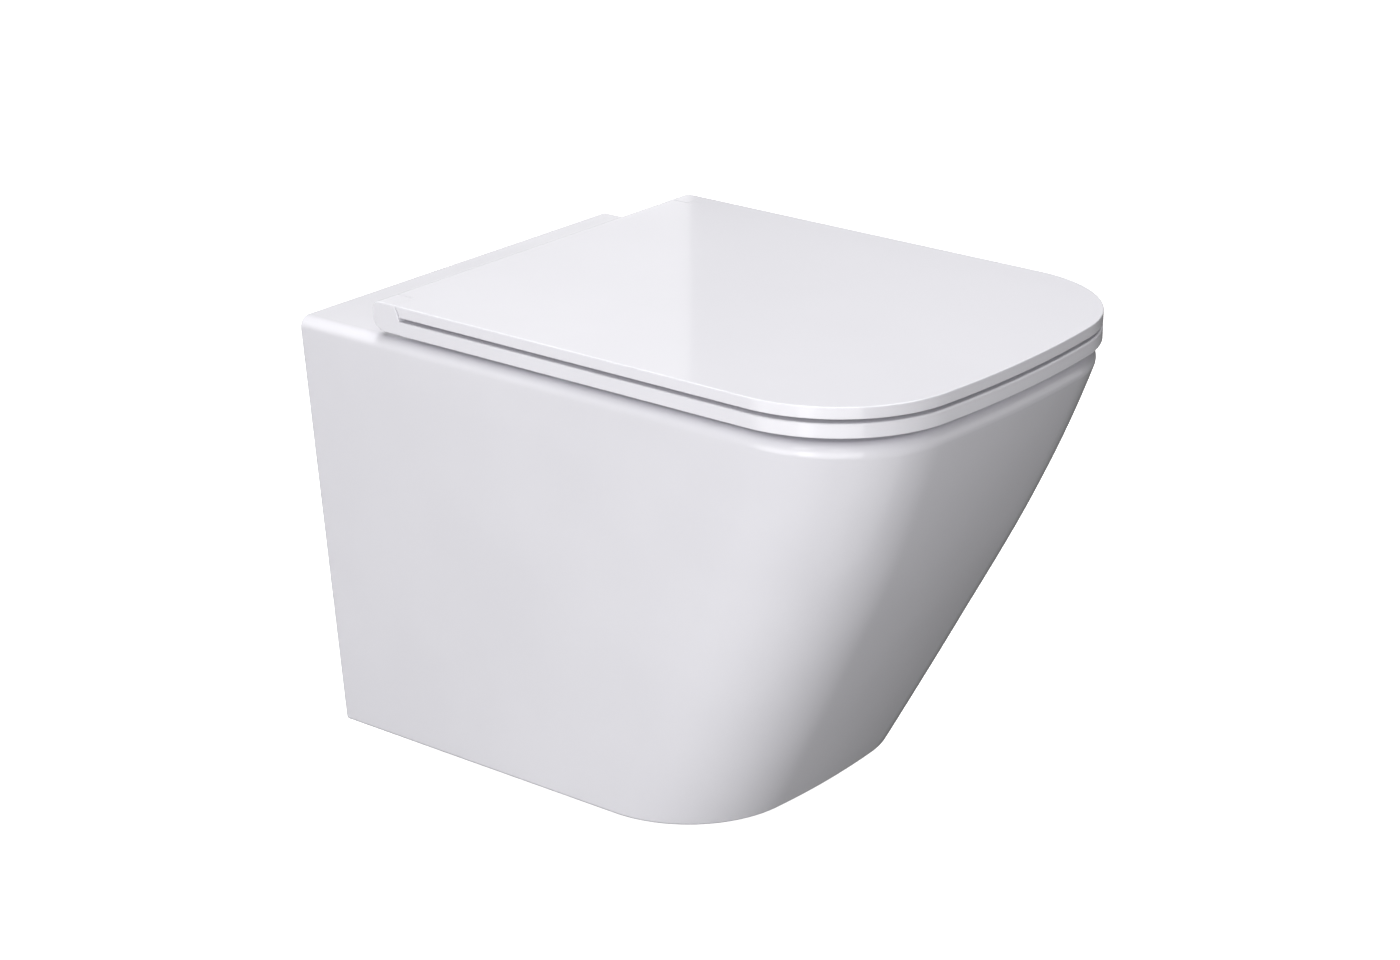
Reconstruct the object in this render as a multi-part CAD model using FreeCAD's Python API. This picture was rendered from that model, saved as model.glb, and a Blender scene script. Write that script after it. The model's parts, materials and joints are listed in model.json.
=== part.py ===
import FreeCAD, Part
import math
import os

from FreeCAD import Vector as V

# ---------------------------------------------------------------------------
# Wall hung toilet: ceramic pan, slim soft-close seat and lid, quick-release
# hinges and concealed wall brackets.
# Millimetres. +Z up, front towards -Y, the wall is the plane y = 0.
# Origin: midway between the two wall studs, on the wall plane.
# ---------------------------------------------------------------------------

# ceramic pan, outside
DECK_Z = 80.0            # flat top of the pan
PAN_H = 337.0            # height of the ceramic
TOP_HALF_REAR = 177.5    # half width of the top outline at the wall
TOP_HALF_FRONT = 173.4   # half width of the top outline at the front
TOP_DEPTH = 514.3        # projection of the top outline from the wall
TOP_BOW = 14.0           # how far the front line bows out
TOP_CORNER_R = 93.8
BOT_HALF_REAR = 145.3
BOT_HALF_FRONT = 141.3
BOT_DEPTH = 357.1
BOT_BOW = 14.7
BOT_CORNER_R = 90.4
# share of the height below the deck, and share of the depth lost there
FRONT_CURVE = [(0.0, 0.0), (0.15, 0.11), (0.35, 0.29), (0.65, 0.61), (1.0, 1.0)]
RIM_ROUND = 8.5
FOOT_ROUND = 4.5
BACK_ROUND = 3.0
WALL = 11.0              # ceramic wall of the outer shell
DECK_T = 14.0            # ceramic thickness of the deck
BOWL_WALL = 10.0

# bowl: depth below deck, centre y, half length, half width
BOWL = [
    (0.0, -314.0, 157.0, 122.0),
    (40.0, -314.0, 153.0, 118.0),
    (110.0, -300.0, 117.0, 90.0),
    (170.0, -274.0, 76.0, 60.0),
    (215.0, -258.0, 47.0, 44.0),
    (255.0, -250.0, 36.0, 34.0),
]
BOWL_POWER = 2.4
BOWL_ROUND = 6.0

# trapway, in the plane x = 0
TRAP_R = 26.0
TRAP_WALL_R = 34.0
SUMP_Z = -148.0          # centre line where the passage leaves the sump
LOW_BEND_Y = -203.5
LOW_BEND_R = 45.0
RISE_DEG = 72.0
CREST_Y = -108.0
CREST_Z = -84.0
CREST_R = 40.0
FALL_DEG = 55.0
OUT_BEND_R = 60.0

# waste spigot and flush inlet
SPIGOT_Z = -100.0
SPIGOT_R = 51.0
SPIGOT_BORE = 43.0
SPIGOT_BACK = -3.0
SPIGOT_FREE = -41.0      # the waste connector slides on as far as here
INLET_Z = 35.0
INLET_R = 27.5
INLET_WALL_R = 38.0
INLET_DEPTH = 48.0
CHANNEL_R = 20.0
CHANNEL_WALL_R = 29.0

# concealed fixing
STUD_X = 90.0            # wall studs, 180 apart
STUD_HOLE_R = 6.5
LEDGE_BOT = 19.0
LEDGE_T = 14.0
LEDGE_FRONT = -114.0
CLAMP_HOLE_R = 10.0

# hinge
HINGE_Y = -88.5          # the hinge axis
HINGE_Z = 97.2
POST_X = 77.5            # hinge posts, 155 apart
POST_Y = -90.5
DECK_HOLE_R = 7.0
AXLE_R = 3.0
AXLE_GAP = 0.05
DAMPER_R = 5.6
DAMPER_FIT = 0.03
BARREL_R = 11.0
COWL_R = 8.4             # inside of the lid's cowl
KNUCKLE_R = 8.0
BLOCK_R = 7.6
BLOCK_IN = 62.0
BLOCK_OUT = 93.0
EAR_IN = 158.0
SIDE_GAP = 0.4
LID_CUT_R = 15.0

# seat and lid outline
LID_HALF_REAR = 178.7
LID_HALF_FRONT = 177.2
LID_DEPTH = 516.5
LID_BOW = 18.3
LID_CORNER_R = 99.3
SEAT_BOT = 86.1
SEAT_TOP = 96.7
LID_BOT = 99.5
LID_TOP = 108.2
SEAT_REAR = -103.5
SEAT_HOLE_Y = -320.0
SEAT_HOLE_L = 138.0
SEAT_HOLE_W = 112.0
LID_RECESS = 3.5
LID_BORDER = 12.0
REAR_ROUND = 6.5

os.makedirs("parts", exist_ok=True)


# ---------------------------------------------------------------- helpers
def lerp(a, b, t):
    return a + (b - a) * t


def outline(z, yr, yf, w0, w1, bow, r):
    """Closed outline at height z: straight back, straight sides, rounded
    front corners tangent to the sides and to a front arc."""
    front_r = (w1 * w1 + bow * bow) / (2.0 * bow)
    cy = -yf + front_r
    a = V(w0, -yr, z)
    d = V(w1 - w0, -(yf - bow) + yr, 0)
    d.normalize()
    n = V(d.y, -d.x, 0)
    if n.x > 0:
        n = n * -1.0
    base = a + n * r
    c = V(0, cy, z)
    m = base - c
    bb = m.dot(d)
    cc = m.dot(m) - (front_r - r) ** 2
    t = -bb + math.sqrt(bb * bb - cc)
    p = base + d * t
    on_side = a + d * t
    u = p - c
    u.normalize()
    on_front = c + u * front_r
    mid_dir = (on_side - p) + (on_front - p)
    mid_dir.normalize()
    mid = p + mid_dir * r
    mx = lambda q: V(-q.x, q.y, q.z)
    front = V(0, -yf, z)
    edges = [
        Part.LineSegment(mx(a), a).toShape(),
        Part.LineSegment(a, on_side).toShape(),
        Part.Arc(on_side, mid, on_front).toShape(),
        Part.Arc(on_front, front, mx(on_front)).toShape(),
        Part.Arc(mx(on_front), mx(mid), mx(on_side)).toShape(),
        Part.LineSegment(mx(on_side), mx(a)).toShape(),
    ]
    return Part.Wire(edges)


def prism(wire, height):
    return Part.Face(wire).extrude(V(0, 0, height))


def box(x0, x1, y0, y1, z0, z1):
    return Part.makeBox(x1 - x0, y1 - y0, z1 - z0, V(x0, y0, z0))


def cyl_x(x0, x1, y, z, r):
    return Part.makeCylinder(r, x1 - x0, V(x0, y, z), V(1, 0, 0))


def cyl_y(y0, y1, x, z, r):
    return Part.makeCylinder(r, y1 - y0, V(x, y0, z), V(0, 1, 0))


def cyl_z(z0, z1, x, y, r):
    return Part.makeCylinder(r, z1 - z0, V(x, y, z0), V(0, 0, 1))


def ring_z(z0, z1, x, y, ro, ri):
    return cyl_z(z0, z1, x, y, ro).cut(cyl_z(z0 - 1, z1 + 1, x, y, ri))


def hexagon_z(z0, z1, x, y, flats):
    r = flats / math.sqrt(3.0)
    pts = [
        V(x + r * math.cos(math.radians(60 * i + 30)), y + r * math.sin(math.radians(60 * i + 30)), z0)
        for i in range(7)
    ]
    pts[6] = pts[0]
    return Part.Face(Part.makePolygon(pts)).extrude(V(0, 0, z1 - z0))


def hexagon_y(y0, y1, x, z, flats):
    r = flats / math.sqrt(3.0)
    pts = [
        V(x + r * math.cos(math.radians(60 * i + 30)), y0, z + r * math.sin(math.radians(60 * i + 30)))
        for i in range(7)
    ]
    pts[6] = pts[0]
    return Part.Face(Part.makePolygon(pts)).extrude(V(0, y1 - y0, 0))


def superellipse(z, cy, hl, hw, power=BOWL_POWER, count=32):
    pts = []
    for i in range(count):
        t = 2 * math.pi * i / count
        c, s = math.cos(t), math.sin(t)
        x = hw * math.copysign(abs(c) ** (2.0 / power), c)
        y = cy + hl * math.copysign(abs(s) ** (2.0 / power), s)
        pts.append(V(x, y, z))
    b = Part.BSplineCurve()
    b.interpolate(Points=pts, PeriodicFlag=True)
    return Part.Wire([b.toShape()])


def mirror(shape):
    return shape.mirror(V(0, 0, 0), V(1, 0, 0))


def one(shape):
    """The single solid of a boolean's result."""
    s = shape.removeSplitter()
    if s.Solids and len(s.Solids) == 1:
        return s.Solids[0]
    return s


def fillet(shape, radius, pick, what):
    edges = [e for e in shape.Edges if pick(e)]
    try:
        out = shape.makeFillet(radius, edges)
        if out.isValid() and out.Solids:
            return out
        print("fillet invalid:", what)
    except Exception as err:
        print("fillet failed:", what, err)
    return shape


def flat_at(e, z, tol=0.02):
    bb = e.BoundBox
    return abs(bb.ZMin - z) < tol and abs(bb.ZMax - z) < tol


def group(shapes):
    return Part.makeCompound(shapes)


def export(shape, name):
    bad = "" if shape.isValid() else "  INVALID"
    print("%-22s solids %d volume %.1f cm3%s" % (name, len(shape.Solids), shape.Volume / 1000.0, bad))
    shape.exportStep("parts/%s.step" % name)


# ------------------------------------------------------------ ceramic pan
def pan_section(share, keep, inset=0.0, back=0.0, z=None):
    """Outline of the pan at a share of its height below the deck; keep is the
    matching share of the front's slope."""
    depth = lerp(TOP_DEPTH, BOT_DEPTH, keep)
    zz = DECK_Z - PAN_H * share if z is None else z
    slope = 1.0 if inset == 0 else 1.0
    return outline(
        zz,
        -back,
        depth - inset * slope,
        lerp(TOP_HALF_REAR, BOT_HALF_REAR, share) - inset,
        lerp(TOP_HALF_FRONT, BOT_HALF_FRONT, share) - inset,
        lerp(TOP_BOW, BOT_BOW, share),
        lerp(TOP_CORNER_R, BOT_CORNER_R, share) - inset,
    )


def curve_at(share):
    """Smooth front curve between the given stations."""
    xs = [p[0] for p in FRONT_CURVE]
    ys = [p[1] for p in FRONT_CURVE]
    n = len(xs)
    h = [xs[i + 1] - xs[i] for i in range(n - 1)]
    dl = [(ys[i + 1] - ys[i]) / h[i] for i in range(n - 1)]
    m = [0.0] * n
    for i in range(1, n - 1):
        w1, w2 = 2 * h[i] + h[i - 1], h[i] + 2 * h[i - 1]
        m[i] = (w1 + w2) / (w1 / dl[i - 1] + w2 / dl[i])
    m[0] = ((2 * h[0] + h[1]) * dl[0] - h[0] * dl[1]) / (h[0] + h[1])
    m[-1] = ((2 * h[-1] + h[-2]) * dl[-1] - h[-1] * dl[-2]) / (h[-1] + h[-2])
    i = max(k for k in range(n - 1) if xs[k] <= share + 1e-12)
    t = (share - xs[i]) / h[i]
    return (
        (2 * t**3 - 3 * t**2 + 1) * ys[i]
        + (t**3 - 2 * t**2 + t) * h[i] * m[i]
        + (-2 * t**3 + 3 * t**2) * ys[i + 1]
        + (t**3 - t**2) * h[i] * m[i + 1]
    )


def flat_rear(solid):
    """The same solid with its flat side on the wall plane held as a true plane."""
    faces = []
    for f in solid.Faces:
        bb = f.BoundBox
        if abs(bb.YMin) < 0.05 and abs(bb.YMax) < 0.05:
            f = Part.Face(Part.Plane(V(0, 0, 0), V(0, 1, 0)), [f.OuterWire])
        faces.append(f)
    made = Part.Solid(Part.Shell(faces))
    return made if made.isValid() and made.Volume > 0 else solid


SHARES = [0.0, 0.12, 0.25, 0.4, 0.55, 0.7, 0.85, 1.0]
outer = flat_rear(Part.makeLoft([pan_section(s, curve_at(s)) for s in SHARES], True, False))
outer_plain = outer


def rim_edge(e):
    bb = e.BoundBox
    return flat_at(e, DECK_Z) and bb.YMax - bb.YMin > 0.5 or (flat_at(e, DECK_Z) and bb.YMin < -400)


def foot_edge(e):
    bb = e.BoundBox
    return flat_at(e, DECK_Z - PAN_H) and (bb.YMax - bb.YMin > 0.5 or bb.YMin < -300)


def back_edge(e):
    bb = e.BoundBox
    return abs(bb.YMin) < 0.02 and abs(bb.YMax) < 0.02


outer = fillet(outer, RIM_ROUND, rim_edge, "rim")
outer = fillet(outer, FOOT_ROUND, foot_edge, "foot")
outer = fillet(outer, BACK_ROUND, back_edge, "back")

# the hollow behind the skin, open to the wall
top_share = DECK_T / PAN_H
low_share = 1.0 - WALL / PAN_H
hollow_shares = [top_share] + [s for s in SHARES if top_share < s < low_share] + [low_share]
hollow = Part.makeLoft([pan_section(s, curve_at(s), WALL, 30.0) for s in hollow_shares], True, False)

# bowl: inside surface and the wall around it
bowl_in = Part.makeLoft([superellipse(DECK_Z - d, cy, hl, hw) for d, cy, hl, hw in BOWL], True, False)
bowl_floor = BOWL[-1]
bowl_in = fillet(bowl_in, 14.0, lambda e: flat_at(e, DECK_Z - bowl_floor[0]), "bowl floor")
wall_sections = [
    superellipse(DECK_Z - d, cy, hl + BOWL_WALL, hw + BOWL_WALL)
    for d, cy, hl, hw in BOWL
    if d > 0
]
wall_sections.insert(0, superellipse(DECK_Z - 2.0, BOWL[0][1], BOWL[0][2] + BOWL_WALL, BOWL[0][3] + BOWL_WALL))
wall_sections.append(superellipse(DECK_Z - bowl_floor[0] - BOWL_WALL, bowl_floor[1], bowl_floor[2] + 8, bowl_floor[3] + 8))
bowl_out = Part.makeLoft(wall_sections, True, False)
bowl_out = fillet(bowl_out, 12.0, lambda e: flat_at(e, DECK_Z - bowl_floor[0] - BOWL_WALL), "bowl base")


# trapway: straight runs and tangent arcs
def trap_path():
    a, f = math.radians(RISE_DEG), math.radians(FALL_DEG)
    P = lambda y, z: V(0, y, z)
    start = P(LOW_BEND_Y - 42.0, SUMP_Z)
    b0 = P(LOW_BEND_Y, SUMP_Z)
    bc = P(LOW_BEND_Y, SUMP_Z + LOW_BEND_R)
    bm = P(bc.y + LOW_BEND_R * math.sin(a / 2), bc.z - LOW_BEND_R * math.cos(a / 2))
    b1 = P(bc.y + LOW_BEND_R * math.sin(a), bc.z - LOW_BEND_R * math.cos(a))
    cc = P(CREST_Y, CREST_Z)
    c0 = P(cc.y - CREST_R * math.sin(a), cc.z + CREST_R * math.cos(a))
    c1 = P(cc.y + CREST_R * math.sin(f), cc.z + CREST_R * math.cos(f))
    h = (f - a) / 2
    cm = P(cc.y + CREST_R * math.sin(h), cc.z + CREST_R * math.cos(h))
    drop = c1.z - SPIGOT_Z - OUT_BEND_R * (1 - math.cos(f))
    run = drop / math.sin(f)
    o0 = P(c1.y + run * math.cos(f), c1.z - drop)
    oc = P(o0.y + OUT_BEND_R * math.sin(f), SPIGOT_Z + OUT_BEND_R)
    om = P(oc.y - OUT_BEND_R * math.sin(f / 2), oc.z - OUT_BEND_R * math.cos(f / 2))
    o1 = P(oc.y, SPIGOT_Z)
    # the straight rise joins the two bends: it starts where the low bend ends
    return start, b0, bm, b1, c0, cm, c1, o0, om, o1


start, b0, bm, b1, c0, cm, c1, o0, om, o1 = trap_path()
gap = c0 - b1
want = V(0, math.cos(math.radians(RISE_DEG)), math.sin(math.radians(RISE_DEG)))
side = gap - want * gap.dot(want)
print("rise is off its tangent by %.2f mm over %.1f mm" % (side.Length, gap.Length))
# slide the low bend along y so that the rise is tangent to both bends
shift = side.y / (1 - want.y * want.y) if abs(1 - want.y * want.y) > 1e-9 else 0.0
dy = V(0, gap.y - gap.z * want.y / want.z, 0)
start, b0, bm, b1 = start + dy, b0 + dy, bm + dy, b1 + dy
print("low bend at y %.2f, crest top %.2f, ends at y %.2f" % (b0.y, CREST_Z + CREST_R, o1.y))


def trap_tube(r, first=0.0, last=0.0):
    edges = [
        Part.LineSegment(start + V(0, first, 0), b0).toShape(),
        Part.Arc(b0, bm, b1).toShape(),
        Part.LineSegment(b1, c0).toShape(),
        Part.Arc(c0, cm, c1).toShape(),
        Part.LineSegment(c1, o0).toShape(),
        Part.Arc(o0, om, o1).toShape(),
        Part.LineSegment(o1, V(0, o1.y + last, SPIGOT_Z)).toShape(),
    ]
    path = Part.Wire(edges)
    p0 = start + V(0, first, 0)
    circle = Part.Wire([Part.makeCircle(r, p0, V(0, 1, 0))])
    tube = path.makePipeShell([circle], True, False)
    length = sum(e.Length for e in edges)
    print("tube r %.0f volume ratio %.4f" % (r, tube.Volume / (math.pi * r * r * length)))
    return tube


tube_out = trap_tube(TRAP_WALL_R, 20.0, 8.0)
tube_in = trap_tube(TRAP_R, 0.0, 12.0)

spigot_out = cyl_y(SPIGOT_FREE, SPIGOT_BACK, 0, SPIGOT_Z, SPIGOT_R).fuse([
    cyl_y(-68.0, SPIGOT_FREE, 0, SPIGOT_Z, SPIGOT_R - 1.0),
    Part.makeCone(36.0, SPIGOT_R - 1.0, 20.0, V(0, -88.0, SPIGOT_Z), V(0, 1, 0)),
])
spigot_in = cyl_y(-48.0, 5.0, 0, SPIGOT_Z, SPIGOT_BORE).fuse(
    Part.makeCone(TRAP_R - 2, SPIGOT_BORE, 16.0, V(0, -64.0, SPIGOT_Z), V(0, 1, 0))
)
inlet_out = cyl_y(-62.0, SPIGOT_BACK, 0, INLET_Z, INLET_WALL_R).fuse(
    cyl_y(-168.0, -60.0, 0, INLET_Z, CHANNEL_WALL_R)
)
inlet_in = cyl_y(-3.0 - INLET_DEPTH, 5.0, 0, INLET_Z, INLET_R).fuse(
    cyl_y(-190.0, -50.0, 0, INLET_Z, CHANNEL_R)
)

ledges = []
for s in (1, -1):
    x0, x1 = (30.0, 172.0) if s > 0 else (-172.0, -30.0)
    ledges.append(box(x0, x1, LEDGE_FRONT, -9.0, LEDGE_BOT, LEDGE_BOT + LEDGE_T))

pan = outer.cut(hollow)
inside = bowl_out.fuse([tube_out, spigot_out, inlet_out] + ledges)
inside = inside.common(outer_plain)
pan = pan.fuse(inside)
pan = pan.cut(bowl_in.fuse(cyl_z(DECK_Z - 0.5, DECK_Z + 5, 0, BOWL[0][1], 20)))
pan = pan.cut(tube_in.fuse([spigot_in]))
pan = pan.cut(inlet_in)
cuts = []
for s in (1, -1):
    cuts.append(cyl_z(DECK_Z - DECK_T - 8, DECK_Z + 5, s * POST_X, POST_Y, DECK_HOLE_R))
    cuts.append(cyl_z(LEDGE_BOT - 1, LEDGE_BOT + LEDGE_T + 1, s * POST_X, POST_Y, CLAMP_HOLE_R))
pan = pan.cut(cuts[0].fuse(cuts[1:]))
pan = one(pan)


def bowl_rim(e):
    bb = e.BoundBox
    return flat_at(e, DECK_Z) and bb.XMax < 130 and bb.XMin > -130 and bb.YMax < -140 and bb.YMax - bb.YMin > 100


pan = fillet(pan, BOWL_ROUND, bowl_rim, "bowl rim")
if len(pan.Solids) == 1:
    pan = pan.Solids[0]
export(pan, "ceramic_pan")

# --------------------------------------------------------- fixing brackets
ARM_TOP = LEDGE_BOT
ARM_T = 5.0
PLATE_T = 4.0
GUSSET_T = 3.0
BR_IN, BR_OUT = 64.0, 114.0
ARM_END = -106.0


def bracket():
    plate = box(BR_IN, BR_OUT, -PLATE_T, 0, -26.0, ARM_TOP)
    arm = box(BR_IN, BR_OUT, ARM_END, -PLATE_T, ARM_TOP - ARM_T, ARM_TOP)
    body = plate.fuse(arm)
    for x in (BR_IN, BR_OUT - GUSSET_T):
        pts = [
            V(x, -PLATE_T, -26.0),
            V(x, -PLATE_T, ARM_TOP - ARM_T),
            V(x, ARM_END + 6, ARM_TOP - ARM_T),
            V(x, ARM_END + 6, ARM_TOP - ARM_T - 5),
            V(x, -PLATE_T, -26.0),
        ]
        body = body.fuse(Part.Face(Part.makePolygon(pts)).extrude(V(GUSSET_T, 0, 0)))
    body = one(body)
    body = fillet(
        body,
        5.0,
        lambda e: e.BoundBox.ZMax - e.BoundBox.ZMin > 4.5
        and e.BoundBox.ZMax - e.BoundBox.ZMin < 5.5
        and abs(e.BoundBox.YMin - ARM_END) < 0.1
        and abs(e.BoundBox.YMax - ARM_END) < 0.1,
        "bracket arm corners",
    )
    body = body.cut(cyl_y(-PLATE_T - 1, 1, STUD_X, 0, STUD_HOLE_R))
    # long hole for the clamp screw, so that the pan can be drawn to the wall
    slot = cyl_z(ARM_TOP - ARM_T - 1, ARM_TOP + 1, POST_X, POST_Y - 4, 4.5)
    slot = slot.fuse(cyl_z(ARM_TOP - ARM_T - 1, ARM_TOP + 1, POST_X, POST_Y + 4, 4.5))
    slot = slot.fuse(box(POST_X - 4.5, POST_X + 4.5, POST_Y - 4, POST_Y + 4, ARM_TOP - ARM_T - 1, ARM_TOP + 1))
    return one(body.cut(one(slot)))


b = bracket()
export(b, "fixing_bracket_left")
export(mirror(b), "fixing_bracket_right")

# stud washers and nuts hold the brackets to the wall studs
washers, nuts = [], []
for s in (1, -1):
    w = cyl_y(-PLATE_T - 2.5, -PLATE_T, s * STUD_X, 0, 12.0).cut(cyl_y(-20, 5, s * STUD_X, 0, 6.5))
    n = hexagon_y(-PLATE_T - 2.5 - 10.0, -PLATE_T - 2.5, s * STUD_X, 0, 19.0)
    n = n.common(cyl_y(-30, 5, s * STUD_X, 0, 10.6)).cut(cyl_y(-40, 5, s * STUD_X, 0, 6.1))
    washers.append(w)
    nuts.append(n)
export(group(washers), "stud_washers")
export(group(nuts), "stud_nuts")

# clamp screws pull the pan's ledges down onto the brackets
bushes, screws, clamp_nuts = [], [], []
LEDGE_TOP = LEDGE_BOT + LEDGE_T
for s in (1, -1):
    x = s * POST_X
    bush = cyl_z(LEDGE_BOT + 0.5, LEDGE_TOP, x, POST_Y, CLAMP_HOLE_R - 0.05)
    bush = bush.fuse(cyl_z(LEDGE_TOP, LEDGE_TOP + 2.0, x, POST_Y, 13.5))
    bush = one(bush.cut(cyl_z(LEDGE_BOT - 5, LEDGE_TOP + 5, x, POST_Y, 4.1)))
    bushes.append(bush)
    head = cyl_z(LEDGE_TOP + 2.0, LEDGE_TOP + 10.0, x, POST_Y, 6.5)
    head = head.cut(hexagon_z(LEDGE_TOP + 6.0, LEDGE_TOP + 12.0, x, POST_Y, 6.0))
    screw = one(head.fuse(cyl_z(1.0, LEDGE_TOP + 2.0, x, POST_Y, 4.0)))
    screws.append(screw)
    nut = hexagon_z(ARM_TOP - ARM_T - 6.5, ARM_TOP - ARM_T, x, POST_Y, 13.0)
    clamp_nuts.append(nut.cut(cyl_z(-20, 40, x, POST_Y, 4.02)))
export(group(bushes), "clamp_bushes")
export(group(screws), "clamp_screws")
export(group(clamp_nuts), "clamp_nuts")

# --------------------------------------------------- hinge posts on the deck
DISC_BOT = DECK_Z + 1.0
DISC_TOP = 83.4
PIN_R = 4.0
PIN_TOP = 90.3
GROOVE = (84.6, 86.4)
GROOVE_R = 2.8
gaskets, studs, dowels, cones = [], [], [], []
for s in (1, -1):
    x = s * POST_X
    disc = ring_z(DISC_BOT, DISC_TOP, x, POST_Y, 22.0, 3.15)
    disc = fillet(disc, 1.2, lambda e: flat_at(e, DISC_TOP) and e.BoundBox.XMax - e.BoundBox.XMin > 30, "disc")
    export(disc, "hinge_base_left" if s > 0 else "hinge_base_right")
    gaskets.append(ring_z(DECK_Z, DISC_BOT, x, POST_Y, 21.0, 3.15))
    pin = cyl_z(DISC_TOP, PIN_TOP, x, POST_Y, PIN_R)
    pin = fillet(pin, 0.8, lambda e: flat_at(e, PIN_TOP), "pin top")
    pin = pin.cut(ring_z(GROOVE[0], GROOVE[1], x, POST_Y, PIN_R + 2, GROOVE_R))
    pin = pin.cut(hexagon_z(PIN_TOP - 4.0, PIN_TOP + 1, x, POST_Y, 4.0))
    pin = one(pin.fuse(cyl_z(50.0, DISC_TOP, x, POST_Y, 3.0)))
    studs.append(pin)
    sleeve = cyl_z(58.0, DECK_Z, x, POST_Y, DECK_HOLE_R - 0.05)
    sleeve = sleeve.cut(cyl_z(50, 90, x, POST_Y, 3.1))
    sleeve = sleeve.cut(Part.makeCone(6.5, 3.1, 8.0, V(x, POST_Y, 57.9), V(0, 0, 1)))
    dowels.append(sleeve)
    cone = Part.makeCone(6.5, 3.9, 5.8, V(x, POST_Y, 57.9), V(0, 0, 1))
    cone = cone.fuse(cyl_z(52.0, 57.9, x, POST_Y, 6.5))
    cone = one(cone.cut(cyl_z(40, 90, x, POST_Y, 3.02)))
    cones.append(cone)
export(group(gaskets), "hinge_gaskets")
export(group(studs), "hinge_studs")
export(group(dowels), "expansion_dowels")
export(group(cones), "cone_nuts")

# ------------------------------------------- hinge blocks, axles, releases
BLOCK_BOT = 83.7
PILLAR = (-101.0, -84.5)       # y range of the block's foot
PLATE_Z = (84.7, 86.3)         # release plate in its slot
PRESS = 2.5                    # travel of the release button


def block():
    body = cyl_x(BLOCK_IN, BLOCK_OUT, HINGE_Y, HINGE_Z, BLOCK_R)
    foot = box(BLOCK_IN, BLOCK_OUT, PILLAR[0], PILLAR[1], BLOCK_BOT, 91.5)
    foot = foot.fuse(box(BLOCK_IN, BLOCK_OUT, -94.5, PILLAR[1], 91.0, HINGE_Z))
    body = one(body.fuse(foot))
    body = fillet(
        body,
        1.2,
        lambda e: e.BoundBox.YMax - e.BoundBox.YMin < 0.05
        and abs(e.BoundBox.YMin - PILLAR[0]) < 0.05
        and e.BoundBox.ZMin > 90,
        "block foot",
    )
    body = body.cut(cyl_z(80, PIN_TOP + 0.5, POST_X, POST_Y, PIN_R + 0.06))
    body = body.cut(cyl_x(BLOCK_IN - 1, BLOCK_OUT + 1, HINGE_Y, HINGE_Z, AXLE_R + 0.01))
    # slot for the release plate, its spring pocket and the cap's recess
    body = body.cut(box(POST_X - 8.2, POST_X + 8.2, -99.0, -80.0, PLATE_Z[0] - 0.2, PLATE_Z[1] + 0.2))
    body = body.cut(cyl_y(-100.0, -96.0, POST_X, 85.5, 1.75))
    return one(body)


def button():
    front, rear = -96.2, PILLAR[1] + 0.3 + PRESS
    plate = box(POST_X - 7.9, POST_X + 7.9, front, rear + 0.5, PLATE_Z[0], PLATE_Z[1])
    hole = cyl_z(80, 90, POST_X, POST_Y, 3.0)
    hole = hole.fuse(cyl_z(80, 90, POST_X, POST_Y + 2.6, 4.3))
    plate = plate.cut(one(hole))
    cap = box(POST_X - 10.5, POST_X + 10.5, rear, rear + 2.6, 84.1, 86.9)
    cap = fillet(cap, 0.8, lambda e: abs(e.BoundBox.YMin - (rear + 2.6)) < 0.01 and abs(e.BoundBox.YMax - (rear + 2.6)) < 0.01, "button cap")
    body = one(plate.fuse(cap))
    # spigot that the spring sits on
    body = body.fuse(cyl_y(front - 1.0, front + 0.5, POST_X, 85.5, 0.75))
    return one(body)


def spring():
    wire_r, coil_r, turns = 0.22, 1.3, 3.0
    y0, y1 = -99.7, -96.45
    pitch = (y1 - y0) / turns
    helix = Part.makeHelix(pitch, y1 - y0, coil_r)
    circle = Part.Wire([Part.makeCircle(wire_r, V(coil_r, 0, 0), V(0, 1, 0))])
    coil = Part.Wire(helix).makePipeShell([circle], True, True)
    # turn the coil's axis from z to y
    m = FreeCAD.Placement(V(POST_X, y0, 85.5), FreeCAD.Rotation(V(1, 0, 0), -90))
    return coil.transformGeometry(m.toMatrix())


bl = block()
export(bl, "hinge_block_left")
export(mirror(bl), "hinge_block_right")
bt = button()
export(bt, "release_button_left")
export(mirror(bt), "release_button_right")
sp = spring()
export(sp, "release_spring_left")
export(mirror(sp), "release_spring_right")

ax = cyl_x(18.0, 154.0, HINGE_Y, HINGE_Z, AXLE_R)
ax = fillet(ax, 0.6, lambda e: e.BoundBox.XMax - e.BoundBox.XMin < 0.01, "axle ends")
export(ax, "hinge_axle_left")
export(mirror(ax), "hinge_axle_right")


def damper(x0, x1, flange_at):
    body = cyl_x(x0, x1, HINGE_Y, HINGE_Z, DAMPER_R)
    end = x1 if flange_at > 0 else x0
    body = fillet(body, 0.5, lambda e: e.BoundBox.XMax - e.BoundBox.XMin < 0.01, "damper")
    # key ribs that stop the cartridge turning in its bore
    body = body.cut(cyl_x(x0 - 1, x1 + 1, HINGE_Y, HINGE_Z, AXLE_R + AXLE_GAP))
    # groove between the cartridge and its cap
    g = end - 4.0 if flange_at > 0 else end + 4.0
    body = body.cut(cyl_x(g - 0.3, g + 0.3, HINGE_Y, HINGE_Z, DAMPER_R + 1).cut(cyl_x(g - 0.4, g + 0.4, HINGE_Y, HINGE_Z, DAMPER_R - 0.4)))
    return one(body)


d = damper(96.0, 155.0, -1)
export(d, "seat_damper_left")
export(mirror(d), "seat_damper_right")
d = damper(17.0, 59.8, 1)
export(d, "lid_damper_left")
export(mirror(d), "lid_damper_right")


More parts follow.
